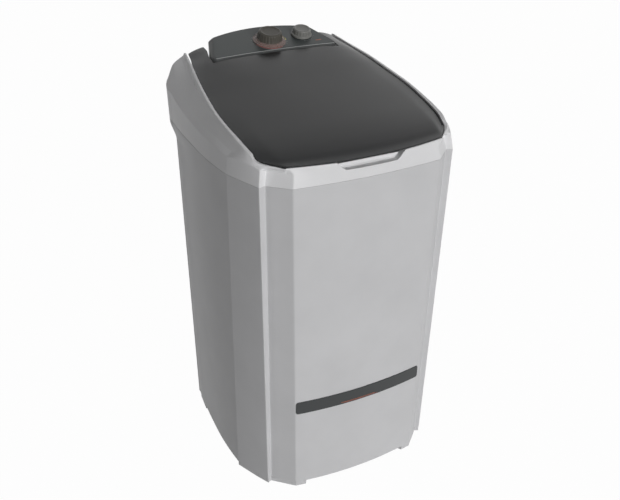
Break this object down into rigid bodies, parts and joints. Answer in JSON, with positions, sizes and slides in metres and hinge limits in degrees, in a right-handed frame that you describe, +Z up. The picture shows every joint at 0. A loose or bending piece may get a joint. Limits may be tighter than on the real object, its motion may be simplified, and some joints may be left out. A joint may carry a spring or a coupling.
{
  "type": "semi-automatic washing machine",
  "caption": "Free-standing top-loading washing machine with a hinged smoked lid, rear control console, tub and belt drive.",
  "frame": {"origin": "on the floor, under the middle of the machine's overall box", "axes": "+X to the machine's left hand as it faces the user (the viewer's right), +Y towards the rear, +Z up"},
  "size_m": [0.587, 0.6195, 1.0756],
  "materials": {
    "body_silver": "satin silver moulded plastic with a fine metallic fleck",
    "lid_smoke": "glossy smoked translucent plastic",
    "label_dark": "dark satin strip",
    "console_dark": "dark grey semi-gloss plastic",
    "fascia": "printed dark grey panel skin",
    "trim_pale": "thin pale line",
    "knob_grey": "translucent warm grey plastic",
    "knob_core": "grey plastic",
    "dial_print": "printed ring in red and yellow",
    "tub_white": "white polypropylene",
    "agitator_blue": "pale blue plastic",
    "filter_pale": "pale translucent plastic",
    "steel": "zinc-plated steel",
    "frame_paint": "dark painted sheet steel",
    "housing_cast": "die-cast aluminium",
    "bronze": "sintered bronze",
    "black_rubber": "black rubber",
    "pulley_black": "dark moulded pulley",
    "motor_steel": "grey painted motor shell",
    "rotor_steel": "laminated steel",
    "switch_plastic": "cream moulded switch body",
    "capacitor_white": "white moulded can",
    "hose_grey": "grey flexible hose",
    "pipe_dark": "dark moulded pipe fitting"
  },
  "bodies": {
    "root": {"cabinet": "body_silver", "rear_access_cover": "body_silver", "rear_cover_screws": "steel", "base_frame": "frame_paint", "frame_screws": "steel", "feet": "body_silver", "front_label_strip": "label_dark", "top_deck": "body_silver", "deck_screws": "steel", "hinge_pins": "steel", "control_console": "console_dark", "console_screws": "steel", "console_fascia": "fascia", "console_trim": "trim_pale", "timer_unit": "switch_plastic", "timer_dial": "dial_print", "selector_switch": "switch_plastic", "wash_tub": "tub_white", "tub_screws": "steel", "lint_filter_frame": "filter_pale", "shaft_seal": "black_rubber", "upper_bush": "bronze", "lower_bush": "bronze", "bearing_housing": "housing_cast", "housing_bolts": "steel", "drive_belt": "black_rubber", "motor_housing": "motor_steel", "motor_bracket": "frame_paint", "motor_bolts": "steel", "bracket_bolts": "steel", "run_capacitor": "capacitor_white", "capacitor_clip": "steel", "drain_elbow": "pipe_dark", "drain_hose": "hose_grey", "drain_spigot": "pipe_dark", "hose_clamps": "steel", "water_inlet": "pipe_dark", "inlet_spout": "filter_pale", "cord_gland": "black_rubber", "wiring_harness": "black_rubber"},
    "lid": {"lid": "lid_smoke"},
    "timer_dial_knob": {"timer_knob": "knob_core", "timer_knob_cap": "knob_grey", "timer_shaft": "steel"},
    "selector": {"selector_knob": "knob_grey", "selector_shaft": "steel"},
    "agitator_drive": {"agitator": "agitator_blue", "agitator_cap": "agitator_blue", "agitator_bolt": "steel", "drive_shaft": "steel", "driven_pulley": "pulley_black", "pulley_nut": "steel"},
    "motor_drive": {"motor_rotor": "rotor_steel", "motor_fan": "pulley_black", "motor_pulley": "pulley_black"},
    "lint_basket": {"lint_filter_basket": "filter_pale"}
  },
  "joints": [
    {"name": "lid_hinge", "type": "hinge", "parent": "root", "child": "lid", "pos_m": [0, 0.27, 1.01], "axis": [-1, 0, 0], "range_deg": [0, 98]},
    {"name": "timer_turn", "type": "hinge", "parent": "root", "child": "timer_dial_knob", "pos_m": [0.002, 0.235, 1.0389], "axis": [0, 0.2538, -0.9673], "range_deg": [0, 330]},
    {"name": "selector_turn", "type": "hinge", "parent": "root", "child": "selector", "pos_m": [0.098, 0.242, 1.04074], "axis": [0, 0.2538, -0.9673], "range_deg": [0, 120]},
    {"name": "agitator_spin", "type": "hinge", "parent": "root", "child": "agitator_drive", "pos_m": [0, -0.034, 0.265], "axis": [0, 0, 1], "continuous": true},
    {"name": "motor_spin", "type": "hinge", "parent": "root", "child": "motor_drive", "pos_m": [0, 0.15, 0.1], "axis": [0, 0, 1], "continuous": true},
    {"name": "lint_lift", "type": "slide", "parent": "root", "child": "lint_basket", "axis": [0, 0, 1], "range_m": [0, 0.12]}
  ],
  "couplings": [
    {"joint": "motor_spin", "follows": "agitator_spin", "ratio": 4.0361}
  ]
}
